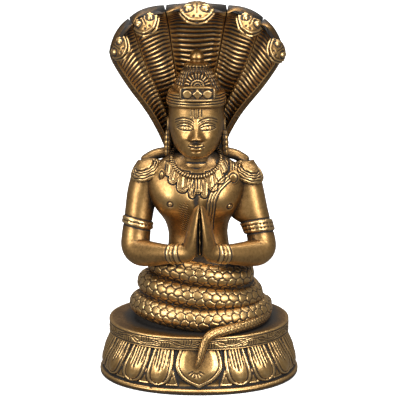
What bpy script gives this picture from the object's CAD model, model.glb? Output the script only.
import math
import bpy
import numpy as np
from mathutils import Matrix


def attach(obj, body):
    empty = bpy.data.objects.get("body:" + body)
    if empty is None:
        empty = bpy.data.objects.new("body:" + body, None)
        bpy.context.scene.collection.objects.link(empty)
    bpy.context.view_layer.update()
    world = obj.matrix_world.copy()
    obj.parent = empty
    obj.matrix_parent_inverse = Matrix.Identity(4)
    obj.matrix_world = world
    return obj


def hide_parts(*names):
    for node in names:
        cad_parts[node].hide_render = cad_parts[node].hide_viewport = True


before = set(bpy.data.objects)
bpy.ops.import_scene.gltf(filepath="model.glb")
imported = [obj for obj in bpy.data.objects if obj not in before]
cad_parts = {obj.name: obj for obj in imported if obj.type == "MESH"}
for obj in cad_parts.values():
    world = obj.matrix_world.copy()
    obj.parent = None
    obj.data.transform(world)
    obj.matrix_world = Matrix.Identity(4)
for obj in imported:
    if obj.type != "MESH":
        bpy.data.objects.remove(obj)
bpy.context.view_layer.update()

# Lotus plinth: the foot of the casting, an oval drum with one broad heart-shaped petal in front and
# narrower petals all round, over a plain rim. It is cast with the rest, and the lines between the
# petals were cut back with a chisel and then filled with dark patina.
MM = 0.001
OVAL_HALF_WIDTH = 73.6
OVAL_HALF_DEPTH = 59.6
OVAL_SQUARENESS = 2.15
PLINTH_COLUMNS = 700
PLINTH_ROW_STEP = 0.42
LOTUS_TOP = 34.8
RIM_TOP = 4.9
FRONT_PETAL_SHARE = 0.1
SIDE_PETALS = 17
PETAL_RISE = 2.4
GIRTH = 452.0


def ease(low, high, value):
    """A smooth step: 0 up to low, 1 past high, and a cubic between them."""
    share = np.clip((value - low) / (high - low), 0.0, 1.0)
    return share * share * (3.0 - 2.0 * share)


def cut(distance, width):
    """A rounded groove: 1 on its middle line, falling off as a bell of that half width."""
    return np.exp(-((distance / width) ** 2))


def through(stations, places):
    """A smooth curve through stations, whose first column is the place and whose others are the
    values: cubic pieces whose slopes at the stations come from the neighbours on both sides."""
    stations = np.asarray(stations, float)
    places = np.asarray(places, float)
    keys, values = stations[:, 0], stations[:, 1:]
    slopes = np.gradient(values, keys, axis=0)
    piece = np.clip(np.searchsorted(keys, places, side="right") - 1, 0, len(keys) - 2)
    gap = (keys[piece + 1] - keys[piece])[..., None]
    t = np.clip((places[..., None] - keys[piece][..., None]) / gap, 0.0, 1.0)
    rise = t * t * (3.0 - 2.0 * t)
    leave = t * (1.0 - t) ** 2 * gap * slopes[piece]
    arrive = t * t * (t - 1.0) * gap * slopes[piece + 1]
    return (1.0 - rise) * values[piece] + rise * values[piece + 1] + leave + arrive


def soften(field, times, wraps):
    """The field averaged with its neighbours a number of times, round the columns where they wrap."""
    mode = "wrap" if wraps else "edge"
    for _ in range(times):
        tall = np.pad(field, ((1, 1), (0, 0)), "edge")
        field = (tall[:-2] + 2.0 * tall[1:-1] + tall[2:]) / 4.0
        wide = np.pad(field, ((0, 0), (1, 1)), mode)
        field = (wide[:, :-2] + 2.0 * wide[:, 1:-1] + wide[:, 2:]) / 4.0
    return field


def ring_faces(rows, columns):
    """Quads between the rings of a grid, and a ladder of quads over its first and last ring."""
    row, column = np.meshgrid(np.arange(rows - 1), np.arange(columns), indexing="ij")
    beside = (column + 1) % columns
    here = row * columns
    side = np.stack([here + column, here + beside, here + columns + beside, here + columns + column], -1)
    rung = np.arange(columns // 2 - 1)
    foot = np.stack([rung, columns - 1 - rung, columns - 2 - rung, rung + 1], -1)
    top = foot[:, ::-1] + (rows - 1) * columns
    return np.concatenate([side.reshape(-1, 4), foot, top])


def facing_out(points, faces):
    """The faces, turned over where the volume they close would count as negative."""
    a, b, c, d = (points[faces[:, k]] for k in range(4))
    volume = np.einsum("ij,ij->", a, np.cross(b, c)) + np.einsum("ij,ij->", a, np.cross(c, d))
    return faces if volume > 0 else faces[:, ::-1]


def cast(name, skins):
    """One mesh object from closed skins. A skin is a grid of points in millimetres, rows of rings
    with an even number of columns, with its relief height and its tone. The relief attribute says
    how far a point stands above the average around it, on a fine and on a broad scale."""
    points, faces, reliefs, tones = [], [], [], []
    start = 0
    for grid, height, tone in skins:
        rows, columns = grid.shape[:2]
        flat = grid.reshape(-1, 3)
        height = np.broadcast_to(np.asarray(height, float), (rows, columns))
        fine = height - soften(height, 5, True)
        broad = height - soften(height, 40, True)
        relief = np.clip(fine / 0.22 + broad / 0.9, -1.0, 1.0)
        faces.append(facing_out(flat, ring_faces(rows, columns)) + start)
        points.append(flat)
        reliefs.append(relief.reshape(-1))
        tones.append(np.broadcast_to(np.asarray(tone, float), (rows, columns)).reshape(-1))
        start += len(flat)
    points, faces = np.concatenate(points), np.concatenate(faces)
    mesh = bpy.data.meshes.new(name)
    mesh.vertices.add(len(points))
    mesh.vertices.foreach_set("co", (points * MM).astype(np.float32).reshape(-1))
    mesh.loops.add(faces.size)
    mesh.loops.foreach_set("vertex_index", faces.astype(np.int32).reshape(-1))
    mesh.polygons.add(len(faces))
    mesh.polygons.foreach_set("loop_start", np.arange(0, faces.size, 4, dtype=np.int32))
    mesh.update(calc_edges=True)
    mesh.shade_smooth()
    for label, values in (("relief", reliefs), ("tone", tones)):
        attribute = mesh.attributes.new(label, "FLOAT", "POINT")
        attribute.data.foreach_set("value", np.concatenate(values).astype(np.float32))
    piece = bpy.data.objects.new(name, mesh)
    bpy.context.scene.collection.objects.link(piece)
    piece.data.materials.append(BRASS)
    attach(piece, "root")
    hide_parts("figure")
    return piece


def old_brass():
    """Polished cast brass with dark patina: the patina lies where the relief attribute is low or
    neighbours stand close, broken up by noise, and the metal is yellower where hands have worn it."""
    material = bpy.data.materials.new("old_brass")
    material.use_nodes = True
    nodes, links = material.node_tree.nodes, material.node_tree.links
    shader = nodes["Principled BSDF"]

    def node(kind, **values):
        made = nodes.new(kind)
        for key, value in values.items():
            setattr(made, key, value)
        return made

    def maths(operation, first, second=None, clamp=False):
        made = node("ShaderNodeMath", operation=operation, use_clamp=clamp)
        for socket, value in zip(made.inputs, (first, second)):
            if isinstance(value, bpy.types.NodeSocket):
                links.new(value, socket)
            elif value is not None:
                socket.default_value = value
        return made.outputs[0]

    def noise(scale, detail, roughness=0.5):
        made = node("ShaderNodeTexNoise")
        made.inputs["Scale"].default_value = scale
        made.inputs["Detail"].default_value = detail
        made.inputs["Roughness"].default_value = roughness
        links.new(place.outputs["Object"], made.inputs["Vector"])
        return made.outputs["Fac"]

    def ramp(factor, stops):
        made = node("ShaderNodeValToRGB")
        made.color_ramp.elements[0].position, made.color_ramp.elements[0].color = stops[0][0], (*stops[0][1], 1)
        made.color_ramp.elements[1].position, made.color_ramp.elements[1].color = stops[-1][0], (*stops[-1][1], 1)
        for position, colour in stops[1:-1]:
            made.color_ramp.elements.new(position).color = (*colour, 1)
        links.new(factor, made.inputs["Fac"])
        return made.outputs["Color"]

    place = node("ShaderNodeTexCoord")
    relief = node("ShaderNodeAttribute", attribute_name="relief").outputs["Fac"]
    tone = node("ShaderNodeAttribute", attribute_name="tone").outputs["Fac"]
    shelter = node("ShaderNodeAmbientOcclusion", samples=8)
    shelter.inputs["Distance"].default_value = 0.011
    blotches = noise(42.0, 4.0)
    grain = noise(420.0, 6.0, 0.65)
    speckle = noise(1500.0, 3.0, 0.6)

    hidden = maths("SUBTRACT", 1.0, shelter.outputs["AO"])
    worn = maths("MULTIPLY", relief, 0.62)
    worn = maths("SUBTRACT", worn, maths("MULTIPLY", hidden, 1.15))
    worn = maths("ADD", worn, maths("MULTIPLY", maths("SUBTRACT", grain, 0.5), 0.75))
    worn = maths("ADD", worn, maths("MULTIPLY", maths("SUBTRACT", blotches, 0.5), 0.5))
    worn = maths("ADD", worn, tone)
    level = maths("ADD", maths("MULTIPLY", worn, 0.5), 0.5, clamp=True)
    colour = ramp(level, [
        (0.10, (0.012, 0.009, 0.007)),
        (0.24, (0.045, 0.027, 0.012)),
        (0.36, (0.20, 0.108, 0.038)),
        (0.50, (0.50, 0.285, 0.098)),
        (0.64, (0.68, 0.425, 0.165)),
        (0.90, (0.84, 0.585, 0.285)),
    ])
    metal = ramp(level, [(0.12, (0.15, 0.15, 0.15)), (0.34, (1, 1, 1))])
    gloss = ramp(level, [(0.10, (0.75, 0.75, 0.75)), (0.42, (0.42, 0.42, 0.42)), (0.9, (0.27, 0.27, 0.27))])
    roughness = maths("ADD", gloss, maths("MULTIPLY", maths("SUBTRACT", speckle, 0.5), 0.22), clamp=True)
    links.new(colour, shader.inputs["Base Color"])
    links.new(metal, shader.inputs["Metallic"])
    links.new(roughness, shader.inputs["Roughness"])
    shader.inputs["Coat Weight"].default_value = 0.2
    shader.inputs["Coat Roughness"].default_value = 0.3
    rough_cast = node("ShaderNodeBump")
    rough_cast.inputs["Strength"].default_value = 0.22
    rough_cast.inputs["Distance"].default_value = 0.0006
    links.new(maths("ADD", maths("MULTIPLY", grain, 0.7), maths("MULTIPLY", blotches, 1.6)), rough_cast.inputs["Height"])
    links.new(rough_cast.outputs["Normal"], shader.inputs["Normal"])
    return material


BRASS = old_brass()


def plinth_ring(share, out):
    """The plinth's oval moved outwards by out, at a share of the way round that is 0 in front and
    grows to the viewer's right: a rounded oval read by length along it, plus out along its normal."""
    angle = np.linspace(-np.pi, np.pi, 4001) - np.pi / 2
    power = 2.0 / OVAL_SQUARENESS
    x = OVAL_HALF_WIDTH * np.sign(np.cos(angle)) * np.abs(np.cos(angle)) ** power
    y = OVAL_HALF_DEPTH * np.sign(np.sin(angle)) * np.abs(np.sin(angle)) ** power
    length = np.concatenate([[0.0], np.cumsum(np.hypot(np.diff(x), np.diff(y)))])
    run = length / length[-1] - 0.5
    ring_x, ring_y = np.interp(share, run, x), np.interp(share, run, y)
    step = 0.002
    along_x = np.interp(share + step, run, x, period=1.0) - np.interp(share - step, run, x, period=1.0)
    along_y = np.interp(share + step, run, y, period=1.0) - np.interp(share - step, run, y, period=1.0)
    size = np.hypot(along_x, along_y)
    return ring_x + out * along_y / size, ring_y - out * along_x / size


def petal_edge(across, up, outline):
    """How far a point lies inside a petal, in millimetres: the half width that the outline has at
    that height less the distance from the petal's middle, shortened where the outline slants."""
    half = through(outline, up)[..., 0]
    slant = (through(outline, up + 0.2)[..., 0] - through(outline, up - 0.2)[..., 0]) / 0.4
    inside = (half - across) / np.sqrt(1.0 + slant**2)
    return np.where(up > 0, inside, -np.hypot(across, up))


def lotus(share, z):
    """Height of the petals over the drum. Each petal is a flat raised border, a groove, and a domed
    middle; the tongue petals also have short slits from the top. Small triangles fill the gaps."""
    rise = (z - RIM_TOP) / (LOTUS_TOP - RIM_TOP)
    turn = np.abs(share) * (1.0 + 0.15 * rise * np.cos(np.pi * share) ** 2)
    heart_outline = [[0, 0.2], [2, 4.4], [5, 10.4], [9, 15.8], [13, 19.2], [18, 21.4], [22, 21.4], [30, 19.4]]
    heart_tip = 5.3
    heart = petal_edge(turn * GIRTH, z - heart_tip, heart_outline)
    pitch = (1.0 - FRONT_PETAL_SHARE) / SIDE_PETALS
    past_front = (turn - FRONT_PETAL_SHARE / 2) / pitch
    order = np.floor(past_front)
    middle = past_front - order - 0.5
    tongue_outline = [[0, 0.2], [0.8, 4.4], [2.2, 7.2], [4.5, 9.2], [8, 10.5], [14, 11.0], [29, 10.2]]
    tongue_tip = 6.0
    up = z - tongue_tip
    side = middle * pitch * GIRTH
    tongue = petal_edge(np.abs(side), up, tongue_outline)
    in_front = turn < FRONT_PETAL_SHARE / 2
    edge = np.where(in_front, heart, tongue)
    height = PETAL_RISE * ease(-0.5, 0.7, edge) - 0.9 * cut(edge - 3.2, 0.5) + 0.7 * ease(3.6, 9.0, edge)
    for slit in range(-2, 3):
        first = 12.0 + 2.2 * abs(slit)
        line = cut(side - 2.5 * slit * (1 + 0.01 * up), 0.5) * ease(first - 1.5, first + 2.5, up)
        height -= np.where(in_front, 0.0, 1.0) * line
    beside = np.abs(past_front - np.round(past_front)) * pitch * GIRTH
    triangle = 5.8 * (20.0 - z) / 14.0 - beside
    triangle = np.minimum(triangle, z - RIM_TOP - 1.2)
    return np.maximum(height, 1.7 * ease(-0.2, 0.9, triangle) - 0.5 * cut(triangle - 2.0, 0.4))


def lotus_plinth():
    """The drum: rings of the oval from the flat underside to the moulding, moved out by a profile
    of rim and flared wall, and by the lotus relief."""
    rows = int(LOTUS_TOP / PLINTH_ROW_STEP)
    z = np.linspace(0.0, LOTUS_TOP, rows)[:, None]
    share = (np.arange(PLINTH_COLUMNS) / PLINTH_COLUMNS - 0.5)[None, :]
    z, share = np.broadcast_arrays(z, share)
    profile = [
        [0, 7.2], [0.6, 7.8], [1.6, 8.0], [3.7, 7.7], [4.6, 6.5], [5.3, 4.6], [6.2, 4.1], [13, 3.6], [18, 2.7],
        [22, 1.2], [27, -1.2], [32, -3.2], [LOTUS_TOP, -4.6],
    ]
    out = through(profile, z)[..., 0]
    petals = lotus(share, z) * ease(RIM_TOP, RIM_TOP + 0.8, z)
    x, y = plinth_ring(share, out)
    strokes = np.zeros_like(z)
    for k in range(6):
        angle = math.radians(-150 + 24 * k)
        along = (x + 2.2) * math.cos(angle) + (z - 20.5) * math.sin(angle)
        beside = (z - 20.5) * math.cos(angle) - (x + 2.2) * math.sin(angle)
        strokes += cut(beside, 0.45) * ease(2.2, 3.2, along) * ease(8.0, 5.5, along)
    petals = petals - 0.8 * np.clip(strokes, 0, 1) * (y < 0)
    chip = np.exp(-(((x + 38.5) / 1.1) ** 2) - ((z - 4.6) / 0.9) ** 2) * (y < 0)
    height = petals - 0.9 * chip
    x, y = plinth_ring(share, out + height)
    groove = -1.3 * cut(z - RIM_TOP - 0.7, 0.9)
    cast("lotus_plinth", [(np.stack([x, y, z], -1), height + groove, 0.0)])


lotus_plinth()

# Moulding: the smooth oval slab that the coils lie on. It is cast with the plinth, and its edge was
# chased by hand with a waving stem, lens-shaped leaves and groups of comma strokes between two lines.
MOULDING_BOTTOM = 34.8
MOULDING_TOP = 45.4
MOULDING_COLUMNS = 700
STEM_WAVES = 12


def chased_vine(share, z):
    """Depth of the chased lines: two border lines, a stem that is a sine wave with two edges, four
    comma strokes in each bend of the stem, and a leaf of two arcs at each crossing of the middle."""
    middle = (MOULDING_BOTTOM + MOULDING_TOP) / 2
    rise = z - middle
    wave = share * STEM_WAVES
    pitch = GIRTH * 0.94 / STEM_WAVES
    stem = 2.0 * np.sin(2 * np.pi * wave)
    slope = 2.0 * 2 * np.pi / pitch * np.cos(2 * np.pi * wave)
    off_stem = np.abs(rise - stem) / np.sqrt(1 + slope**2)
    lines = cut(off_stem - 0.75, 0.36)
    bend = np.floor(wave * 2)
    along = (wave * 2 - bend - 0.5) * pitch / 2
    side = np.where(bend % 2 == 0, 1.0, -1.0)
    for stroke in range(4):
        centre = (stroke - 1.5) * 2.1
        height = rise + side * (1.2 + 0.15 * stroke)
        curve = along - centre + 0.16 * height**2
        lines = np.maximum(lines, cut(curve, 0.42) * ease(2.3, 1.5, np.abs(height)))
    crossing = (wave * 2 - np.round(wave * 2)) * pitch / 2
    leaf = np.abs(np.abs(rise + 0.25 * crossing) - 1.9 * (1 - (crossing / 3.6) ** 2))
    lines = np.maximum(lines, 0.8 * cut(leaf, 0.34) * (np.abs(crossing) < 3.6))
    borders = cut(z - MOULDING_BOTTOM - 1.5, 0.42) + cut(z - MOULDING_TOP + 1.7, 0.42)
    field = ease(1.8, 2.6, z - MOULDING_BOTTOM) * ease(1.9, 2.8, MOULDING_TOP - z)
    return borders + lines * field


def moulding():
    """The slab: rings of the oval that follow its lower lip, its upright edge, and its flat top as
    far in as the coils cover."""
    lip = [[33.2, -5.0], [34.4, -2.0], [34.9, -0.3]]
    edge = [[z, 0.25] for z in np.arange(35.3, 44.7, 0.34)]
    top = [[45.0, 0.0], [45.35, -0.5], [45.5, -1.3]] + [[45.5, -1.3 - 1.8 * k] for k in range(1, 19)]
    rows = np.array(lip + edge + top)
    share = (np.arange(MOULDING_COLUMNS) / MOULDING_COLUMNS - 0.5)[None, :]
    z, share = np.broadcast_arrays(rows[:, :1], share)
    out = np.broadcast_to(rows[:, 1:], z.shape)
    on_edge = ease(-1.2, -0.4, out) * ease(44.9, 44.5, z)
    depth = -0.75 * chased_vine(share, z) * on_edge
    x, y = plinth_ring(share, out + depth)
    dull = -0.28 * ease(-1.0, -2.5, out)
    cast("moulding", [(np.stack([x, y, z], -1), depth, dull)])


moulding()

# Serpent: a thick body wound two and a half times under the figure, wider and lower from turn to
# turn, whose tail comes round the viewer's right and hangs over the moulding. The scales were chased
# one by one, with their free ends towards the tail.
COIL_PITCH = 17.2
COIL_X = 2.8
COIL_RADIUS = 9.6
SCALE_LENGTH = 6.5
SCALE_ROW = 5.9


def carry(path, up, radius, turns):
    """A round section carried along a path: each ring lies square to the path, its zero angle in
    the direction of up cross the path's own direction, at radius times cosine and sine."""
    along = np.gradient(path, axis=0)
    along /= np.linalg.norm(along, axis=1, keepdims=True)
    side = np.cross(up, along)
    side /= np.linalg.norm(side, axis=1, keepdims=True)
    top = np.cross(along, side)
    angle = turns[None, :, None]
    spoke = side[:, None, :] * np.cos(angle) + top[:, None, :] * np.sin(angle)
    return path[:, None, :] + radius[..., None] * spoke


def evenly(points, step):
    """The points of a smooth curve through the given points, spaced evenly by length along it, and
    the place of each between the given points."""
    points = np.asarray(points, float)
    order = np.arange(len(points), dtype=float)
    fine_order = np.linspace(0, len(points) - 1, 60 * len(points))
    fine = through(np.column_stack([order, points]), fine_order)
    length = np.concatenate([[0.0], np.cumsum(np.linalg.norm(np.diff(fine, axis=0), axis=1))])
    stops = np.linspace(0, length[-1], max(int(length[-1] / step), 3))
    places = np.interp(stops, length, fine_order)
    return through(np.column_stack([order, points]), places), places, stops


def coil_point(turn):
    """Middle of the body at a turn: a flattened spiral that widens steadily and sinks, standing
    higher on the viewer's left than on the right. Turn 0 is the front of the highest coil."""
    angle = 2 * np.pi * turn
    half = 33.5 + 7.4 * (turn + 0.1)
    z = 87.5 - COIL_PITCH * (turn - 0.53 * np.sin(angle))
    return np.stack([COIL_X - half * np.sin(angle), -0.8 * half * np.cos(angle), np.maximum(z, 53.0)], -1)


def scales(along, around, length, row):
    """Height of overlapping scales. Rows run along the body, each shifted by half a scale from the
    next. A scale has straight sides and a half-round free end, and covers the ones behind it, so
    the scales are laid from the tail forwards, each with a step down at its edge."""
    height = np.zeros_like(along)
    half_step = length / 2
    cell = np.floor(along / half_step)
    for ahead in range(3, -3, -1):
        order = cell + ahead
        centre = order * half_step
        parity = np.mod(order, 2)
        line = (np.round((around / row - parity) / 2) * 2 + parity) * row
        beside = np.abs(around - line) / (row * 0.72)
        past = np.maximum(along - centre, 0.0) / (length * 0.6)
        inner = 1.0 - np.hypot(beside, past)
        reaches = (inner > 0) & (centre - along < length)
        scale = 0.85 * ease(0.0, 0.24, inner) + 0.2 * inner
        height = np.where(reaches, scale, height)
    return height


def serpent():
    """The body in two lengths that meet at the back: the spiral, then the tail's path, with the
    section's radius falling from the last coil to the tip, and the scales shrinking with it."""
    upper = coil_point(np.linspace(-0.42, 1.5, 60))
    lower = coil_point(np.linspace(1.48, 2.36, 28))
    tail_path = [
        [47, 25, 51.5], [52.8, 10, 50.6], [54.4, -6, 50.2], [51, -23, 50.2], [43, -36.5, 50], [32, -46.5, 49.8],
        [20.5, -53.5, 49.3], [12, -58.0, 48.4], [6.8, -60.8, 45.8], [3.8, -62.8, 40], [1.0, -65.2, 31], [-1.8, -67.6, 22],
    ]
    lower = np.concatenate([lower, tail_path])
    radii = [[0, 9.6], [18, 9.6], [24, 8.6], [27, 7.6], [28, 6.2], [29, 5.2], [30, 4.8], [31, 4.6], [32, 4.4],
             [34, 4.2], [35, 4.0], [36, 3.8], [37, 3.4], [38, 2.9], [38.6, 2.2], [39, 0.9]]
    turns = np.arange(76) / 76 * 2 * np.pi
    turns = turns - 0.42 * np.sin(turns)
    for name, points, sizes, first in (
        ("serpent_coils", upper, [[0, COIL_RADIUS], [59, COIL_RADIUS]], 0.0),
        ("serpent_tail", lower, radii, 451.0),
    ):
        path, place, run = evenly(points, 0.68)
        radius = through(sizes, place)[:, 0]
        hangs = ease(32.0, 36.5, place) if name == "serpent_tail" else np.zeros(len(place))
        up = np.stack([0 * hangs, -0.75 * hangs, 1 - 0.35 * hangs], -1)
        length = np.cumsum(np.gradient(run) / np.clip(radius / COIL_RADIUS, 0.5, 1.0)) + first
        around = np.where(turns > np.pi, turns - 2 * np.pi, turns)[None, :] * np.minimum(COIL_RADIUS, 9.6)
        along = length[:, None] + 0.5 * np.sin(around * 0.6 + length[:, None] * 0.23)
        around = around + 0.45 * np.sin(along * 0.31)
        height = scales(along, around + 2.0, SCALE_LENGTH, SCALE_ROW)
        small = np.clip(radius / COIL_RADIUS, 0.28, 1.0)[:, None]
        height = height * small
        bare = ease(2.6, 2.95, np.abs(turns - np.pi) * -1 + np.pi)[None, :]
        height = height * (1 - bare)
        grid = carry(path, up, radius[:, None] - 0.55 + height, turns)
        cast(name, [(grid, height, 0.0)])


serpent()

# Core: the mass that fills the middle of the coils and carries the figure. Only its shaded top
# shows between the highest coil and the waist.
def coil_core():
    """Stacked ovals that shrink upwards."""
    stations = [[41.0, 53, 42], [64, 50, 40], [80, 42, 33.5], [97, 34, 27], [101, 28, 21]]
    z = np.linspace(41, 101, 40)
    size = through(stations, z)
    angle = np.arange(96) / 96 * 2 * np.pi
    x = size[:, :1] * np.cos(angle)
    y = size[:, 1:] * np.sin(angle)
    cast("coil_core", [(np.stack([x, y, np.broadcast_to(z[:, None], x.shape)], -1), 0.0, -0.45)])


coil_core()

# Body: bare chest and narrow waist, cast with everything else. The hanging leaves of the collar, the
# cord across the chest and the nipples are low relief, sharpened afterwards with a chasing tool.
BODY_LEAN = -2.6


def lean(z):
    """How far the middle of the body lies towards the viewer's left at a height, as a negative x."""
    return BODY_LEAN * ease(95.0, 155.0, z)


def oval_rings(stations, z, angle, squareness):
    """Rings of a rounded oval at the heights z, from stations that give the height, half width,
    half depth, middle x and middle y."""
    size = through(stations, z)
    power = 2.0 / squareness
    across, deep = np.cos(angle), np.sin(angle)
    x = size[:, 2:3] + size[:, 0:1] * np.sign(across) * np.abs(across) ** power
    y = size[:, 3:4] + size[:, 1:2] * np.sign(deep) * np.abs(deep) ** power
    return np.stack([x, y, np.broadcast_to(z[:, None], x.shape)], -1)


def raised(grid, height):
    """The grid moved out by height along its own normals. Its rows go up and its columns go round
    anticlockwise as seen from above."""
    wide = np.roll(grid, -1, 1) - np.roll(grid, 1, 1)
    tall = np.gradient(grid, axis=0)
    normal = np.cross(wide, tall)
    normal /= np.maximum(np.linalg.norm(normal, axis=2, keepdims=True), 1e-9)
    return grid + height[..., None] * normal


def front_heavy(columns, share):
    """Angles round a ring, starting at the back and passing the front halfway, closer together in
    front by the given share."""
    turn = (np.arange(columns) / columns - 0.5) * 2 * np.pi
    return turn - share * np.sin(turn) - np.pi / 2


def inside_leaf(x, z, root, tip, half):
    """How far a point seen from the front lies inside a tongue with a round end that hangs from
    root to tip; past the root it counts as outside."""
    run_x, run_z = tip[0] - root[0], tip[1] - root[1]
    size = math.hypot(run_x, run_z)
    along = ((x - root[0]) * run_x + (z - root[1]) * run_z) / size
    across = ((z - root[1]) * run_x - (x - root[0]) * run_z) / size
    inside = half - np.hypot(across, np.maximum(along - size + half, 0.0))
    return np.minimum(inside, along + 0.6)


def chest_relief(x, z):
    """Height of everything on the chest: round pectorals with a hollow between, ringed nipples, a
    cord of three strands from the shoulder, and the collar's leaves with lines inside their edges."""
    height = np.zeros_like(x)
    for side in (-1, 1):
        bulge_x, bulge_z = (x - side * 17.5) / 13.5, (z - 149) / 12.0
        height += 3.4 * np.exp(-(bulge_x**2) - bulge_z**2)
    height -= 1.6 * np.exp(-((x / 4.0) ** 2) - ((z - 150) / 9.0) ** 2)
    height -= 0.7 * cut(x, 2.2) * ease(100, 106, z) * ease(134, 126, z)
    for nipple_x, nipple_z in ((-19.8, 145.6), (26.0, 143.1)):
        away = np.hypot(x - nipple_x, z - nipple_z)
        height += 0.7 * ease(2.0, 1.0, away) - 0.75 * cut(away - 2.1, 0.5) - 0.6 * cut(away, 0.5)
    cord_course = [[122, 9.4], [131.8, 10.0], [140.2, 11.0], [150.2, 12.8], [157.3, 16.4], [163, 22.6], [168, 30]]
    course = through(cord_course, z)[..., 0]
    slant = (through(cord_course, z + 0.5)[..., 0] - through(cord_course, z - 0.5)[..., 0])
    off = (x - course) / np.sqrt(1 + slant**2)
    height += 0.9 * ease(3.3, 2.6, np.abs(off)) * ease(122, 126, z)
    for groove in (-3.1, -1.0, 1.1, 3.1):
        height -= 0.75 * cut(off - groove, 0.42) * ease(122, 126, z)
    hatched = ease(-14.0, -12.0, x) * ease(-5.0, -7.0, x) * ease(120, 124, z) * ease(149, 144, z)
    height += 0.28 * hatched * np.sin((z + 0.8 * x) * 2.9) * np.sin((x - 0.3 * z) * 1.1)
    leaves = [
        ((-20.5, 176.0), (-21.6, 167.0), 2.5, (1.0,)), ((-16.0, 172.0), (-18.6, 161.3), 3.3, (1.0, 2.1)),
        ((-9.3, 170.0), (-10.7, 155.0), 4.2, (1.0, 2.1, 3.2)), ((-4.6, 168.0), (-2.4, 150.6), 2.4, (0.9, 1.8)),
        ((1.4, 168.0), (1.5, 153.6), 3.1, (0.9,)), ((7.3, 168.0), (6.7, 151.0), 2.4, (0.9, 1.8)),
        ((12.0, 170.0), (13.7, 156.0), 3.6, (1.0, 2.1)), ((17.0, 172.0), (20.0, 161.6), 3.6, (1.0,)),
        ((20.0, 177.0), (24.0, 169.5), 2.6, (1.0,)),
    ]
    nearest = np.full_like(x, -9.0)
    collar = np.zeros_like(x)
    for root, tip, half, lines in leaves:
        inside = inside_leaf(x, z, root, tip, half)
        leaf = 1.5 * ease(-0.25, 0.4, inside)
        for line in lines:
            leaf = leaf - 0.85 * cut(inside - line, 0.3)
        collar = np.where(inside > np.maximum(nearest, -0.25), leaf, collar)
        nearest = np.maximum(nearest, inside)
    centre_slot = cut(x - 1.5, 0.7) * ease(157, 158.5, z) * ease(167, 165, z)
    collar -= 1.0 * centre_slot
    collar -= 0.8 * cut(nearest + 0.55, 0.4)
    return height + collar


def body():
    """The trunk: rings of a rounded oval from inside the coils to the neck, leaning a little, with
    the chest relief raised along the surface in front and a shallow spine groove behind."""
    stations = [
        [84, 25.4, 22, 0, 0], [104, 25, 20, 0, -1], [119.6, 24.4, 18.6, 0, -1], [128, 26.6, 19.5, 0, -2],
        [136, 31.4, 21.5, 0, -3], [146, 37, 22.5, 0, -3], [157, 40.5, 22.5, 0, -2], [168, 39, 20, 0, -1],
        [176, 29, 15.5, 0, -1], [183, 17, 13, 0, -2],
    ]
    z = np.concatenate([np.arange(84, 120, 1.0), np.arange(120, 140, 0.55), np.arange(140, 176, 0.42),
                        np.arange(176, 183.5, 0.8)])
    grid = oval_rings(stations, z, front_heavy(250, 0.52), 2.3)
    front = ease(0.0, -8.0, grid[..., 1])
    height = chest_relief(grid[..., 0], grid[..., 2]) * front
    spine = 1.4 * cut(grid[..., 0], 3.0) * ease(4.0, 10.0, grid[..., 1])
    grid = raised(grid, height - spine)
    grid[..., 0] += lean(grid[..., 2])
    cast("body", [(grid, height, 0.0)])


body()

# Arms: bent at the elbow, with the palms together before the chest and a slot left between them.
# Two rolled bands go round each upper arm on the viewer's left, three on the right, and three
# narrow rings round each wrist.
BAND_ROLL = 1.6


def rolls(run, centre, places, half):
    """Height of rounded rings laid across a limb, at places along it counted from centre."""
    height = np.zeros_like(run)
    for place in places:
        share = np.clip(1.0 - ((run - centre - place) / half) ** 2, 0.0, None)
        height = np.maximum(height, np.sqrt(share))
    return height


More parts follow.
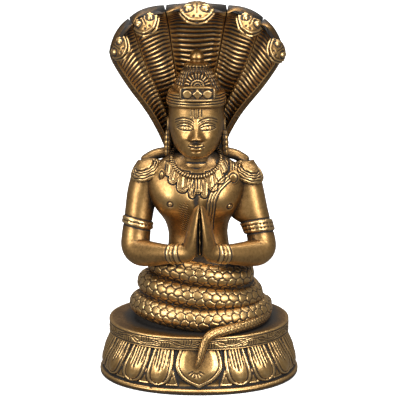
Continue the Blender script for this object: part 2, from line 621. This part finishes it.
def arm(side, band_z, band_rolls, armpit, columns):
    """One arm as an oval section carried from the shoulder to the fingertips. The section is round
    down to the wrist, and then thin across and deep from front to back for the hand. The armpit
    stations give, by height, how far a web of metal stands in from the upper arm."""
    course = np.array([
        [37.5, 3, 174], [38.8, 2, 167], [41, 1, 158], [43.7, -0.8, 148], [46.2, -3.2, 136], [48.6, -5.6, 124],
        [50.4, -7.8, 114.5], [50.6, -10.8, 107.6], [47.4, -16.0, 104.2], [41, -22.6, 104.4], [33, -30.4, 106],
        [24.5, -38.0, 108], [17.5, -43.4, 109.6], [11.6, -46.9, 111.2], [7.9, -48.6, 115], [7.1, -49, 120],
        [6.3, -49, 126.5], [5.4, -48.8, 133.5], [4.2, -48.5, 140], [2.7, -48, 146], [1.1, -47.5, 150],
    ])
    thick = [
        [0, 9.5, 9.5], [1, 12.2, 12.2], [2, 12.4, 12.4], [3, 12.0, 12.0], [4, 11.5, 11.5], [5, 11.4, 11.4],
        [6, 11.6, 11.7], [7, 12.0, 12.0], [8, 11.4, 11.3], [9, 10.4, 10.5], [10, 9.2, 9.3], [11, 7.8, 7.9],
        [12, 6.9, 7.0], [13, 6.4, 7.6], [14, 5.7, 8.6], [15, 4.6, 9.2], [16, 3.6, 9.2], [17, 2.7, 8.6],
        [18, 2.1, 7.2], [19, 1.4, 5.0], [20, 0.4, 1.2],
    ]
    path, place, run = evenly(course, 0.62)
    path = path * [side, 1, 1]
    size = through(thick, place)
    hand = ease(11.5, 15.0, place)
    up = np.stack([-side * (0.72 + 0.28 * hand), 0.66 * (1 - hand), 0 * hand], -1)
    turns = np.arange(columns) / columns * 2 * np.pi
    radius = 1 / np.hypot(np.cos(turns)[None, :] / size[:, 1:], np.sin(turns)[None, :] / size[:, :1])
    band_run = np.interp(-band_z, -path[:200, 2], run[:200])
    wrist_run = np.interp(11.95, place, run)
    tilt = run[:, None] + 0.9 * np.cos(turns)[None, :]
    height = 1.5 * rolls(tilt, band_run, band_rolls, BAND_ROLL)
    inner_edges = (np.array(band_rolls[:-1]) + np.array(band_rolls[1:])) / 2
    for edge in inner_edges:
        beads = cut(tilt - band_run - edge, 0.7) * (0.5 + 0.5 * np.cos(turns * 24))[None, :]
        height += 0.8 * beads
    height += 1.0 * rolls(run[:, None] + 0 * turns, wrist_run, (-3.0, 0.0, 3.0), 1.4)
    chevron = cut(run[:, None] - wrist_run - 1.4 * np.abs((turns * 7 / np.pi) % 1 - 0.5), 0.35)
    height -= 0.5 * chevron
    for line in (-4.8, -1.5, 1.5, 4.8):
        height -= 0.45 * cut(run[:, None] - wrist_run - line, 0.4)
    for line in (band_rolls[0] - BAND_ROLL - 0.3, band_rolls[-1] + BAND_ROLL + 0.3):
        height -= 0.5 * cut(tilt - band_run - line, 0.5)
    web = through(armpit, path[:, 2])[:, 0] * (place < 7)
    inward = np.angle(np.exp(1j * (turns - 0.83)))
    radius = radius + web[:, None] * cut(inward, 0.8)[None, :]
    grid = carry(path, up, radius + height, turns)
    towards_front = hand[:, None] * np.clip((path[:, None, 1] - grid[..., 1]) / 9.0, -1, 1)
    grid[..., 0] -= side * 2.6 * towards_front
    grid[..., 0] += lean(grid[..., 2]) * (1 - hand)[:, None] + 0.6 * hand[:, None]
    return grid, height


def hands_slot():
    """The floor of the slot between the hands: a narrow upright oval bar with a ridge down its
    front."""
    z = np.linspace(108.5, 146.5, 60)
    stations = [[108.5, 1.6, 2.0, 0.6, -46], [113, 2.9, 4.0, 0.6, -46], [138, 2.7, 4.0, 0.6, -46],
                [146.5, 1.0, 2.0, 0.6, -46]]
    grid = oval_rings(stations, z, front_heavy(36, 0.5), 2.2)
    ridge = 3.4 * cut(grid[..., 0] - 0.6, 0.75) * ease(109, 112, grid[..., 2]) * (grid[..., 1] < -46)
    grid[..., 1] -= ridge * (0.85 + 0.15 * np.sin(grid[..., 2] * 0.9))
    return grid, ridge


def arms():
    """Both arms with their bands, and the slot between the hands."""
    left_armpit = [[100, 0], [131, 0], [136, 2.5], [141, 6], [150, 6], [165, 0], [180, 0]]
    right_armpit = [[100, 0], [121, 0], [127, 1.5], [133, 7], [141, 8], [150, 6], [165, 0], [180, 0]]
    left, left_height = arm(-1, 126.0, (-1.65, 1.65), left_armpit, 84)
    right, right_height = arm(1, 122.5, (-3.2, 0.0, 3.2), right_armpit, 84)
    slot, ridge = hands_slot()
    cast("arms", [(left, left_height, 0.0), (right, right_height, 0.0), (slot, ridge, 0.2 * ridge - 0.7)])


arms()

# Collar and shoulders: a twisted cord round the neck, caps with rows of feathers on the shoulders,
# a drop and a leaf beside them, and the flat ends of a ribbon behind. All are cast with the body.
def neck():
    """A plain column with two faint folds."""
    z = np.linspace(166, 192, 36)
    stations = [[166, 17, 16, -2.4, -4], [174, 14.2, 14, -2.3, -4.5], [182, 13.4, 13, -2.2, -5], [192, 14, 13, -2.1, -6]]
    grid = oval_rings(stations, z, front_heavy(72, 0.3), 2.1)
    folds = -0.5 * cut(grid[..., 2] - 177.5, 0.6) - 0.5 * cut(grid[..., 2] - 173, 0.6)
    return raised(grid, folds), folds


def twisted_cord():
    """A ring round the neck that hangs lower in front, as a round section with slanting grooves."""
    turn = np.arange(401) / 400 * 2 * np.pi
    path = np.stack([-2.3 + 19.4 * np.cos(turn), -9 + 15.0 * np.sin(turn), 179.5 + 12 * np.sin(turn)], -1)
    around = np.arange(14) / 14 * 2 * np.pi
    strand = 0.35 * np.sin(turn[:, None] * 56 + around[None, :])
    up = np.tile([0.0, -0.6, 0.8], (len(path), 1))
    return carry(path, up, 1.75 + strand, around), strand


def shoulder_cap(side, tip, lean_out):
    """A cap of three rows round a smooth oval boss: rings of a flattened dome about an axis that
    points up, forward and outward, grooved between the rows and scalloped at the rim."""
    share = np.linspace(1.0, 0.004, 66)
    turn = np.arange(96) / 96 * 2 * np.pi
    span = share[:, None] * (1 + 0 * turn)
    scallop = np.abs(np.sin(turn * 11))[None, :]
    edge = 15.5 * span
    height = 0.9 * ease(15.4, 14.6, edge) - 0.4 * ease(13.2, 15.0, edge) * (1 - scallop)
    for groove in (6.6, 8.4, 10.2, 12.4):
        height -= 0.75 * cut(edge - groove - 0.25 * np.sin(turn * 9 + groove), 0.42)
    height += 0.7 * ease(6.4, 5.2, edge)
    angle = 1.30 * span
    bulk = np.stack([np.cos(turn) * np.sin(angle), np.sin(turn) * np.sin(angle), np.cos(angle)], -1)
    bulk = bulk * [14.6, 13.0, 11.0] + height[..., None] * bulk
    forward = np.array([side * 0.34, -0.42, 0.84])
    forward /= np.linalg.norm(forward)
    across = np.cross([0.0, 1.0, 0.0], forward)
    across /= np.linalg.norm(across)
    third = np.cross(forward, across)
    grid = bulk @ np.stack([across, third, forward])
    return grid + np.array(tip) + [lean_out, 0, 0], height


def pendants():
    """The round drop by the viewer's left armpit and the pointed leaf by the right one."""
    skins = []
    for centre, wide, tall, pointed in (((-29.6, -17.5, 167.5), 3.0, 5.6, 0.25), ((27.4, -18.0, 165.6), 5.4, 6.2, 1.0)):
        z = np.linspace(-1, 1, 34)
        width = np.sqrt(np.clip(1 - z**2, 0.002, 1)) * (1 - pointed * 0.35 * (z < 0) * np.abs(z))
        stations = np.column_stack([z, wide * width, 2.4 * width, 0 * z, 0 * z])
        grid = oval_rings(stations, z, front_heavy(40, 0.3), 2.0)
        ring = np.hypot(grid[..., 0] / wide, grid[..., 2])
        height = -0.6 * cut((ring - 0.62) * wide, 0.5) * (grid[..., 1] < 0)
        grid = grid * [1, 1, tall]
        grid[..., 1] += height * -1.0
        skins.append((grid + np.array(centre), height, 0.0))
    return skins


def ribbon_end(side):
    """A flat ribbon end that stands off the back of the shoulder, with a groove along its edge."""
    path, place, _ = evenly(np.array([[20, 9, 181], [27, 8, 180.5], [34, 7.5, 178.6], [43, 7, 173]]), 0.8)
    path = path * [side, 1, 1] + [-3.2, 0, 0]
    turns = np.arange(32) / 32 * 2 * np.pi
    wide = 4.2 * np.sqrt(np.clip(1 - (np.clip(place - 2.7, 0, None) / 0.32) ** 2, 0.05, 1))
    radius = 1 / np.hypot(np.cos(turns)[None, :] / wide[:, None], np.sin(turns)[None, :] / 6.5)
    height = -0.6 * cut(np.sin(turns), 0.18)[None, :] * np.ones((len(path), 1))
    return carry(path, np.tile([0.0, 1.0, 0.1], (len(path), 1)), radius + height, turns), height


def collar():
    """Everything round the neck and on the shoulders as one piece."""
    left_cap, left_height = shoulder_cap(-1, (-38.0, -1.5, 165.0), -2.2)
    right_cap, right_height = shoulder_cap(1, (39.5, -1.5, 163.0), -2.2)
    throat, folds = neck()
    cord, strand = twisted_cord()
    skins = [(left_cap, left_height, 0.0), (right_cap, right_height, 0.0), (throat, folds, -0.05), (cord, strand, 0.0)]
    for side in (-1, 1):
        ribbon, groove = ribbon_end(side)
        skins.append((ribbon, groove, -0.1))
    cast("collar", skins + pendants())


collar()

# Head: a smooth oval face of a general kind with lowered lids and arched brows, calm and regular, in
# the manner of such castings. Brows, lids, lips and the forehead mark are cut with a graver.
FACE_X = -2.1
EYE_Z = 207.4
EYE_SPACING = 9.0
NOSE_Z = 198.6
MOUTH_Z = 193.0


def face_relief(x, z):
    """How far the face stands forward of the plain oval at a point seen from the front: nose, brow
    ridges, sockets, eyeballs, cheeks, lips and chin as smooth bells. The graver's lines come second."""
    side = np.abs(x)
    bridge = cut(x, 2.3 + 0.16 * (EYE_Z + 6 - z)) * ease(NOSE_Z - 1.0, NOSE_Z + 1.4, z) * ease(EYE_Z + 10, EYE_Z + 2, z)
    rise = 2.0 + 5.2 * ease(EYE_Z + 3, NOSE_Z, z)
    height = rise * bridge
    wing_x, wing_z = (side - 3.7) / 1.9, (z - NOSE_Z - 0.9) / 1.9
    height += 2.3 * np.exp(-(wing_x**2) - wing_z**2)
    socket_x, socket_z = (side - EYE_SPACING) / 6.5, (z - EYE_Z - 0.4) / 3.6
    height -= 1.9 * np.exp(-(socket_x**2) - socket_z**2)
    ball_x, ball_z = (side - EYE_SPACING) / 5.2, (z - EYE_Z) / 2.9
    height += 2.2 * np.exp(-(ball_x**2) - ball_z**2)
    arch_x = side - EYE_SPACING + 0.5
    brow_z = EYE_Z + 7.2 - 0.045 * arch_x**2 + 0.10 * arch_x
    on_brow = ease(1.2, 2.4, side) * ease(17.5, 15.5, side)
    height += 0.7 * cut(z - brow_z + 0.8, 1.3) * on_brow
    lines = np.zeros_like(x)
    for offset in (0.9, -0.9):
        lines += 0.75 * cut((z - brow_z - offset) / np.hypot(1, 0.09 * arch_x), 0.42) * on_brow
    height += 1.3 * np.exp(-(((side - 10.5) / 6.5) ** 2) - ((z - 199.5) / 5.0) ** 2)
    muzzle = np.exp(-((side / 7.0) ** 2) - ((z - MOUTH_Z) / 4.6) ** 2)
    height += 1.7 * muzzle
    line_z = MOUTH_Z + 0.012 * side**2 - 0.25 * cut(x, 1.2)
    on_lips = ease(6.3, 5.0, side)
    upper = cut(z - line_z - 1.25, 1.1) * (1 - 0.25 * cut(x, 0.8))
    lower = cut(z - line_z + 1.45, 1.25) * ease(5.8, 3.4, side)
    height += 1.25 * (upper + 1.1 * lower) * on_lips
    lines += 0.95 * cut(z - line_z, 0.42) * ease(6.6, 5.8, side)
    height -= 0.55 * cut(z - line_z + 3.6, 0.6) * ease(4.2, 2.6, side)
    height -= 0.5 * cut(x, 0.8) * ease(MOUTH_Z + 2.4, MOUTH_Z + 3.2, z) * ease(NOSE_Z - 0.6, NOSE_Z - 1.4, z)
    height += 1.5 * np.exp(-((x / 4.4) ** 2) - ((z - 187.2) / 2.7) ** 2)
    lid_x = np.clip((side - EYE_SPACING) / 5.9, -1, 1)
    arc = np.sqrt(np.clip(1 - np.abs(lid_x) ** 1.8, 0, 1))
    open_eye = np.abs(side - EYE_SPACING) < 5.9
    upper_lid = EYE_Z + 0.15 * (side - EYE_SPACING) / 5.9 + 2.0 * arc
    lower_lid = EYE_Z + 0.15 * (side - EYE_SPACING) / 5.9 - 1.7 * arc
    lids = cut(z - upper_lid, 0.36) + 0.9 * cut(z - lower_lid, 0.34)
    lids = np.where(open_eye, lids, cut(z - EYE_Z, 0.3) * ease(7.4, 6.2, np.abs(side - EYE_SPACING)))
    fold = cut(z - EYE_Z - 3.9 + 0.055 * (side - EYE_SPACING) ** 2, 0.36) * ease(7.2, 6.0, np.abs(side - EYE_SPACING))
    lines += 0.75 * np.clip(lids, 0, 1.1) + 0.6 * fold
    pupil = np.hypot(side - EYE_SPACING, z - EYE_Z - 0.1)
    lines += 0.28 * cut(pupil - 1.45, 0.3)
    lines += 0.6 * ease(7.6, 8.4, z - EYE_Z) * ease(17.9, 17.0, z - EYE_Z) * forehead_mark(x, z - EYE_Z)
    return height, lines


def forehead_mark(x, up):
    """Lines of the sect mark on the forehead: a narrow U between two upright strokes."""
    inner = np.where(up > 9.6, np.abs(np.abs(x) - 1.6), np.abs(np.hypot(x, up - 9.6) - 1.6))
    outer = np.abs(np.abs(x) - 4.1) + 0.8 * ease(10.0, 8.0, up)
    return np.clip(cut(inner, 0.42) + cut(outer, 0.4), 0, 1)


def head():
    """The head as rings of an oval that is wider behind, finer in front, with the face raised
    towards the viewer and hair ridges over the back."""
    z = np.concatenate([np.linspace(182.6, 184, 5)[:-1], np.arange(184, 227, 0.42), np.arange(227, 241, 1.2)])
    stations = [
        [182.6, 4.5, 6, 0, -21.5], [184, 8.8, 10, 0, -19.6], [187, 13.6, 14.5, 0, -15.9], [193, 18.0, 18.4, 0, -12.4],
        [201, 20.7, 20.6, 0, -9.6], [211, 21.9, 21.4, 0, -8.6], [220, 21.9, 21.2, 0, -8.4], [229, 21.2, 20.4, 0, -7.8],
        [241, 17.0, 17.0, 0, -8.5],
    ]
    grid = oval_rings(stations, z, front_heavy(250, 0.62), 2.15)
    front = ease(-0.2, -0.75, (grid[..., 1] + 8.6) / 21.4)
    height, lines = face_relief(grid[..., 0], grid[..., 2])
    grid[..., 1] -= (height - lines) * front
    back = ease(-2.0, 6.0, grid[..., 1])
    hair = 0.5 * np.sin(grid[..., 0] * 1.5) * back
    grid[..., 1] += hair
    grid[..., 0] += FACE_X
    cast("head", [(grid, (0.06 * height - lines) * front + hair, 0.1 * front - 0.1)])


head()


def ear_skins():
    """Long ears with a rolled rim, and under each a heavy drop of stacked beads to the shoulder."""
    skins = []
    for side in (-1, 1):
        turn = (np.arange(48) / 48) * 2 * np.pi
        share = np.linspace(1, 0.01, 22)[:, None]
        rim = 1.0 * cut(share - 0.72, 0.16) - 0.7 * cut(share - 0.42, 0.14)
        out = 2.4 * np.sqrt(1 - share**2) + rim
        x = side * (20.6 + out + 0 * turn)
        y = -7.5 + 4.6 * share * np.cos(turn)[None, :]
        tall = 8.2 * share * np.sin(turn)[None, :]
        grid = np.stack([x + FACE_X, y, 206.5 + tall], -1)
        skins.append((grid, np.broadcast_to(rim, x.shape), -0.1))
        z = np.linspace(0, 1, 76)
        beads = 0.4 * np.abs(np.sin(z * np.pi * 5.0)) ** 0.7
        width = 1.5 + 1.2 * np.sin(z * np.pi) ** 0.8 + beads
        stations = np.column_stack([z, width * 1.0, width * 1.15, 0 * z, 0 * z])
        drop = oval_rings(stations, z, front_heavy(40, 0.2), 2.4)
        drop[..., 2] = 182.5 + 20.5 * drop[..., 2]
        drop[..., 0] += side * (23.4 - 0.06 * (drop[..., 2] - 182.5)) + FACE_X
        drop[..., 1] += -9.5
        groove = -0.5 * cut(drop[..., 0] - side * 22.9 - FACE_X, 0.5) * (drop[..., 1] < -9.5)
        skins.append((drop, np.broadcast_to(beads[:, None], drop.shape[:2]) + groove, -0.05))
    return skins


cast("ears", ear_skins())

# Crown: a tall cone of matted hair bound by a ringed headband, with a framed plaque and a half-round
# crest in front, a spreading tier and a pointed knob. The hair is hatched with a fine chisel.
def headband():
    """A band of five cords round the brow."""
    z = np.linspace(223.0, 236.0, 52)
    sizes = [[223.0, 21.6], [223.6, 22.8], [224.5, 23.4], [226, 23.7], [231, 23.3], [234, 22.4], [235.2, 21.4], [236, 19.0]]
    stations = [[up, wide, wide - 0.6, FACE_X, -9] for up, wide in sizes]
    grid = oval_rings(stations, z, front_heavy(150, 0.4), 2.1)
    up = grid[..., 2]
    height = 0.0 * up
    for line in (226.4, 228.6, 230.8, 233.0):
        height -= 0.9 * cut(up - line, 0.42)
    return raised(grid, height), height


def plaque():
    """A flat upright tablet with round corners whose raised rim frames a diamond between two bulbs."""
    wide, tall = 14.6, 6.2
    share = np.linspace(1, 0.01, 34)[:, None]
    turn = np.arange(160) / 160 * 2 * np.pi
    power = 2 / 3.6
    x = wide * share * np.sign(np.cos(turn)) * np.abs(np.cos(turn)) ** power
    z = tall * share * np.sign(np.sin(turn)) * np.abs(np.sin(turn)) ** power
    inside = np.minimum(wide - np.abs(x), tall - np.abs(z))
    height = 1.3 * ease(2.4, 1.6, inside)
    diamond = 1.0 - np.abs(x) / 4.9 - np.abs(z) / 4.3
    bulbs = 1.0 - np.hypot((np.abs(x) - 8.3) / (3.9 + 0.6 * (np.abs(x) < 8.3)), z / 3.7)
    height = np.maximum(height, 1.5 * ease(0.0, 0.3, np.maximum(diamond, bulbs)))
    base = 3.2 * ease(1.0, 0.93, share)
    y = -(base + height) + 0.012 * x**2
    rim = np.stack([x[0], np.full(len(turn), 5.0), z[0]], -1)[None]
    grid = np.concatenate([rim, np.stack([x, y, z], -1)])
    height = np.concatenate([height[:1], height])
    return grid + np.array([-1.2, -30.2, 235.4]), height


def crest():
    """A half-round crest over the plaque: two nested arches, and a fringe of flames round them."""
    share = np.linspace(1, 0.01, 40)[:, None]
    turn = np.arange(144) / 144 * 2 * np.pi
    flame = 1.0 + 0.07 * np.cos(turn * 22)
    reach = 10.2 * share * flame
    x, z = reach * np.cos(turn), reach * np.sin(turn) * 1.05
    away = 10.2 * share + 0 * turn
    height = 1.0 * cut(away - 4.9, 0.75) + 1.1 * cut(away, 2.0) + 0.9 * cut(away - 2.9, 0.5)
    rays = 0.5 + 0.5 * np.cos(turn * 22)
    height += 1.2 * ease(6.0, 6.6, away) * rays
    y = -2.6 * ease(1.0, 0.9, share) - height
    rim = np.stack([x[0], np.full(len(turn), 6.0), z[0]], -1)[None]
    grid = np.concatenate([rim, np.stack([x, y + 0 * x, z], -1)])
    height = np.concatenate([height[:1], height])
    return grid + np.array([-1.2, -27.5, 240.6]), height


def hair_cone():
    """The cone, tier and knob as rings about an upright axis; the cone is hatched all over."""
    profile = [[0, 19, 233], [1, 18.2, 238], [2, 16.3, 243], [3, 13.6, 248], [4, 10.8, 252], [5, 9.6, 253.4],
               [6, 10.6, 254.4], [7, 10.4, 255.4], [8, 8.0, 256.8], [9, 5.6, 258], [10, 5.2, 259.2], [11, 5.9, 261],
               [12, 5.2, 263.4], [13, 3.2, 265.8], [14, 0.3, 267.8]]
    place = np.concatenate([np.linspace(0, 4.5, 70), np.linspace(4.6, 14, 70)])
    size = through(profile, place)
    angle = front_heavy(168, 0.3)
    x = size[:, :1] * np.cos(angle)[None, :] + FACE_X + 0.5
    y = size[:, :1] * np.sin(angle)[None, :] - 9.0
    z = size[:, 1:] + 0 * x
    row = np.floor(z / 2.7)
    strokes = np.cos(angle[None, :] * 34 + row * 1.6 + 0.4 * np.sin(row * 9)) * np.sin((z / 2.7 - row) * np.pi)
    hatch = 0.6 * strokes * ease(252.5, 250.5, z)
    tier = -0.35 * (1 + np.cos(angle * 22))[None, :] * cut(z - 254.6, 1.4)
    return raised(np.stack([x, y, z], -1), hatch + tier), hatch + tier


def crown():
    """All parts of the crown as one piece."""
    skins = [(*headband(), 0.0), (*plaque(), 0.05), (*crest(), 0.0)]
    cone, hatch = hair_cone()
    skins.append((cone, hatch, -0.32 * ease(254.0, 252.0, cone[..., 2])))
    cast("crown", skins)


crown()

# Hood: five serpent necks spread flat and joined edge to edge into one shell that rises behind the
# figure and curls forward over it. It is cast with the body; the belly ribs were cut by hand, and
# dark patina has stayed between them.
HOOD_ARC = 1.32
SHEET_FRONT = 2.2
SHEET_BACK = -1.6


def hood_point(across, up):
    """A point of the shell's middle surface: rows that widen upwards, each an arc whose ends come
    forward and drop, from across -1 on the viewer's left to 1 on the right, and up from 0 to 1. The
    top rows are flatter in the middle and turn down faster at the sides."""
    rows = [
        [0.0, 16, 150, 152, 18, 15, -3.4], [0.2, 22.5, 184, 184, 17, 8, -3.8], [0.4, 35, 221, 212, 20, -1, -3.6],
        [0.6, 53, 259, 238, 17, -11, -2.6], [0.8, 64, 289, 256, 3, -18, -2.1], [1.0, 66.8, 303, 266, -24, -25, -2.1],
    ]
    half, middle_z, edge_z, middle_y, edge_y, middle_x = np.moveaxis(through(rows, up), -1, 0)
    angle = across * HOOD_ARC
    drop = (1 - np.cos(angle)) / (1 - math.cos(HOOD_ARC))
    flat_top = 1.0 + 0.57 * ease(0.55, 1.0, up)
    x = middle_x + half * np.sin(angle) / math.sin(HOOD_ARC)
    y = middle_y + (edge_y - middle_y) * drop
    z = middle_z + (edge_z - middle_z) * drop**flat_top
    return np.stack([x, y, z], -1)


def hood_neck(start, end, pitch, first, sag):
    """One of the five necks as a closed sheet: a hollow front that rises to a lip at both edges and
    is cut across by sagging ribs, a rolled top edge, and a plainer back with the same ribs."""
    up = np.concatenate([np.linspace(0.0, 0.19, 16), np.linspace(0.195, 1.0, 268)])
    front = -np.cos(np.linspace(0, np.pi, 46))
    back = np.cos(np.linspace(0, np.pi, 12))[1:-1]
    place = np.concatenate([front, back])
    is_front = (np.arange(len(place)) < len(front)).astype(float)
    middle, half = (start + end) / 2, (end - start) / 2
    spine = hood_point(np.full_like(up, middle), up)
    run = np.concatenate([[0.0], np.cumsum(np.linalg.norm(np.diff(spine, axis=0), axis=1))])
    across, rise = np.meshgrid(middle + half * place, up)
    grid = hood_point(across, rise)
    small = 1e-3
    wide = hood_point(across + small, rise) - hood_point(across - small, rise)
    tall = hood_point(across, rise + small) - hood_point(across, rise - small)
    normal = np.cross(wide, tall)
    normal /= np.linalg.norm(normal, axis=2, keepdims=True)
    place, run = place[None, :], run[:, None]
    length = run[-1, 0]
    lip = ease(0.62, 0.93, np.abs(place))
    phase = (run + sag * (1 - place**2) + 0.5 * np.sin(place * 2.3 + run * 0.13)) / pitch + first
    groove = (phase - np.round(phase)) * pitch
    clear = ease(0.97, 0.88, np.abs(place)) * ease(length - 5.0, length - 8.0, run) * ease(0, 20, run)
    ribs = (0.28 * np.cos(2 * np.pi * (phase - 0.5)) - 0.7 * cut(groove, 0.42)) * clear
    rolled = 2.8 * cut(length - run - 2.8, 2.8)
    hollow = SHEET_FRONT + 1.9 * lip - 1.3 * (1 - place**2) + rolled
    seam = ease(1.0, 0.965, np.abs(place))
    height = is_front * ribs + (1 - is_front) * 0.6 * ribs
    out_front = (hollow * seam + (SHEET_FRONT + 0.4) * (1 - seam)) + ribs
    out_back = SHEET_BACK - 0.9 * (1 - place**2) - 0.6 * ribs
    grid = grid + np.where(is_front, out_front, out_back)[..., None] * normal
    tone = -0.1 - 0.2 * is_front * ease(0.6, 0.85, rise) * ease(length - 4, length - 9, run)
    return grid, height + is_front * 0.7 * lip * seam + 0.25 * rolled, tone


def hood():
    """The five necks side by side."""
    edges = [-1.0, -0.64, -0.27, 0.27, 0.64, 1.0]
    pitches = [3.5, 3.7, 4.4, 3.8, 3.6]
    sags = [1.5, 3.2, 5.5, 4.2, 3.6]
    skins = []
    for order, (start, end) in enumerate(zip(edges[:-1], edges[1:])):
        skins.append(hood_neck(start, end, pitches[order], 0.3 * order, sags[order]))
    cast("hood", skins)


hood()

# Serpent heads: one at the end of each neck, bent forward over the rim, with round eyes under a
# brow, a blunt snout and a wide mouth. They are part of the same casting, rubbed bright on top.
def serpent_head():
    """One head about its own middle: x across, y back from the snout, z up. Rings of an oval along
    the snout's direction carry bulging eyes, brows, lips, nostrils and rows of small scales."""
    stations = [[-9, 8, 4.5, 2], [-3, 10.8, 6.2, 1.4], [3, 11.4, 6.4, 0.6], [8, 9.8, 5.4, -0.6], [12, 7.2, 4.2, -1.8],
                [14.4, 4.2, 2.6, -2.6], [15.2, 0.6, 0.5, -2.8]]
    out = np.concatenate([np.linspace(-9, 12, 44), np.linspace(12.3, 15.2, 12)])
    size = through(stations, out)
    turn = np.arange(76) / 76 * 2 * np.pi
    x = size[:, :1] * np.cos(turn)
    z = size[:, 2:3] + size[:, 1:2] * np.sin(turn)
    y = -out[:, None] + 0 * x
    away = np.stack([np.cos(turn) * np.ones_like(x), -0.35 * ease(6, 15, -y) - 0.6 * ease(12, 15, -y), np.sin(turn) * np.ones_like(x)], -1)
    upper = (np.sin(turn) > -0.2)[None, :]
    eye = np.sqrt((np.abs(x) - 5.4) ** 2 + (y + 5.2) ** 2 + 0.2 * (z - 5.5) ** 2)
    height = (1.9 * ease(2.8, 1.2, eye) - 0.9 * cut(eye - 3.0, 0.55) - 0.5 * cut(eye - 1.2, 0.35)) * upper
    brow = np.hypot(np.abs(x) - 6.0, y + 1.6)
    height += 1.2 * cut(brow - 1.0, 1.2) * upper
    mouth = z + 2.6 - 0.035 * x**2
    height -= 1.3 * cut(mouth, 0.55) * ease(-3, 1, -y)
    height += 0.8 * (cut(mouth - 1.5, 0.8) + cut(mouth + 1.5, 0.8)) * ease(-3, 1, -y)
    nostril = np.hypot(np.abs(x) - 2.2, y + 12.4)
    height -= 0.9 * cut(nostril, 0.8) * upper
    crown_scales = 0.35 * np.cos(x * 1.9) * np.cos(y * 1.7) * ease(3.0, 5.0, np.abs(eye)) * upper * ease(9, 6, -y)
    height += crown_scales - 0.6 * cut(x, 0.5) * upper * ease(-2, 0, -y) * ease(11, 9, -y)
    grid = np.stack([x, y, z], -1) + height[..., None] * away
    return grid, height


def serpent_heads():
    """The head set five times on the rim: turned about its snout to follow the rim, tilted down,
    and moved to its seat."""
    grid, height = serpent_head()
    tilt = math.radians(14)
    seats = [
        ((-1.6, -23.0, 298.0), 0, (1.18, 1.0, 0.92)), ((-40.5, -23.5, 289.0), 30, (0.95, 0.95, 0.95)),
        ((38.6, -23.5, 289.0), -30, (0.95, 0.95, 0.95)), ((-60.6, -24.5, 270.5), 64, (0.86, 0.86, 0.86)),
        ((59.8, -24.5, 268.5), -64, (0.86, 0.86, 0.86)),
    ]
    skins = []
    for seat, roll, scale in seats:
        turn = math.radians(roll)
        nod = np.array([[1, 0, 0], [0, math.cos(tilt), -math.sin(tilt)], [0, math.sin(tilt), math.cos(tilt)]])
        about = np.array([[math.cos(turn), 0, -math.sin(turn)], [0, 1, 0], [math.sin(turn), 0, math.cos(turn)]])
        skins.append((grid * scale @ (about @ nod).T + seat, height, -0.04))
    cast("serpent_heads", skins)


serpent_heads()

# Studio: a pale seamless sheet for floor and background, soft boxes to the right, left and above,
# and a camera a little above the figure's middle, looking down.
def sweep():
    """A flat floor that turns up in a quarter circle behind the object into an upright wall."""
    turn = np.linspace(0, np.pi / 2, 24)
    floor_end, bend, wall_top = 1.1, 0.9, 4.0
    y = np.concatenate([[-3.0], floor_end + bend * np.sin(turn), [floor_end + bend]])
    z = np.concatenate([[0.0], bend * (1 - np.cos(turn)), [wall_top]])
    x = np.array([-3.5, 3.5])
    points = [(float(a), float(b), float(c)) for b, c in zip(y, z) for a in x]
    faces = [(2 * k, 2 * k + 1, 2 * k + 3, 2 * k + 2) for k in range(len(y) - 1)]
    mesh = bpy.data.meshes.new("studio_sweep")
    mesh.from_pydata(points, [], faces)
    mesh.shade_smooth()
    paper = bpy.data.materials.new("white_paper")
    paper.use_nodes = True
    shader = paper.node_tree.nodes["Principled BSDF"]
    shader.inputs["Base Color"].default_value = (0.93, 0.93, 0.93, 1)
    shader.inputs["Roughness"].default_value = 0.9
    shader.inputs["Specular IOR Level"].default_value = 0.1
    shader.inputs["Emission Color"].default_value = (1, 1, 1, 1)
    shader.inputs["Emission Strength"].default_value = 0.45
    mesh.materials.append(paper)
    sheet = bpy.data.objects.new("studio_sweep", mesh)
    sheet.visible_glossy = False
    bpy.context.scene.collection.objects.link(sheet)


def soft_box(name, place, target, size, power):
    """A square light that faces its target."""
    light = bpy.data.lights.new(name, "AREA")
    light.shape = "RECTANGLE"
    light.size, light.size_y = size
    light.energy = power
    lamp = bpy.data.objects.new(name, light)
    lamp.location = place
    aim = np.array(target) - np.array(place)
    heading = math.atan2(-aim[0], aim[1])
    lamp.rotation_euler = (math.acos(-aim[2] / np.linalg.norm(aim)), 0, heading)
    bpy.context.scene.collection.objects.link(lamp)


def studio():
    """Sweep, lights, surrounding light and camera."""
    sweep()
    chest = (0, 0, 0.15)
    soft_box("light_right", (0.75, -1.1, 0.75), chest, (0.55, 0.8), 15)
    soft_box("light_left", (-0.85, -0.8, 0.6), chest, (0.5, 0.8), 9)
    soft_box("light_above", (0, -0.25, 1.3), chest, (1.2, 0.8), 12)
    soft_box("light_wall", (0, 0.6, 1.8), (0, 1.8, 0.5), (2.4, 0.6), 40)
    world = bpy.data.worlds.new("studio_air")
    world.use_nodes = True
    world.node_tree.nodes["Background"].inputs["Color"].default_value = (1, 1, 1, 1)
    world.node_tree.nodes["Background"].inputs["Strength"].default_value = 0.2
    bpy.context.scene.world = world
    lens = bpy.data.cameras.new("camera")
    lens.sensor_width = 36.0
    lens.lens = 148.42
    camera = bpy.data.objects.new("camera", lens)
    camera.location = (0.0008, -1.3, 0.45)
    camera.rotation_euler = (math.radians(90 - 13.285), 0, 0)
    bpy.context.scene.collection.objects.link(camera)
    bpy.context.scene.camera = camera
    bpy.context.scene.view_settings.view_transform = "Standard"


studio()
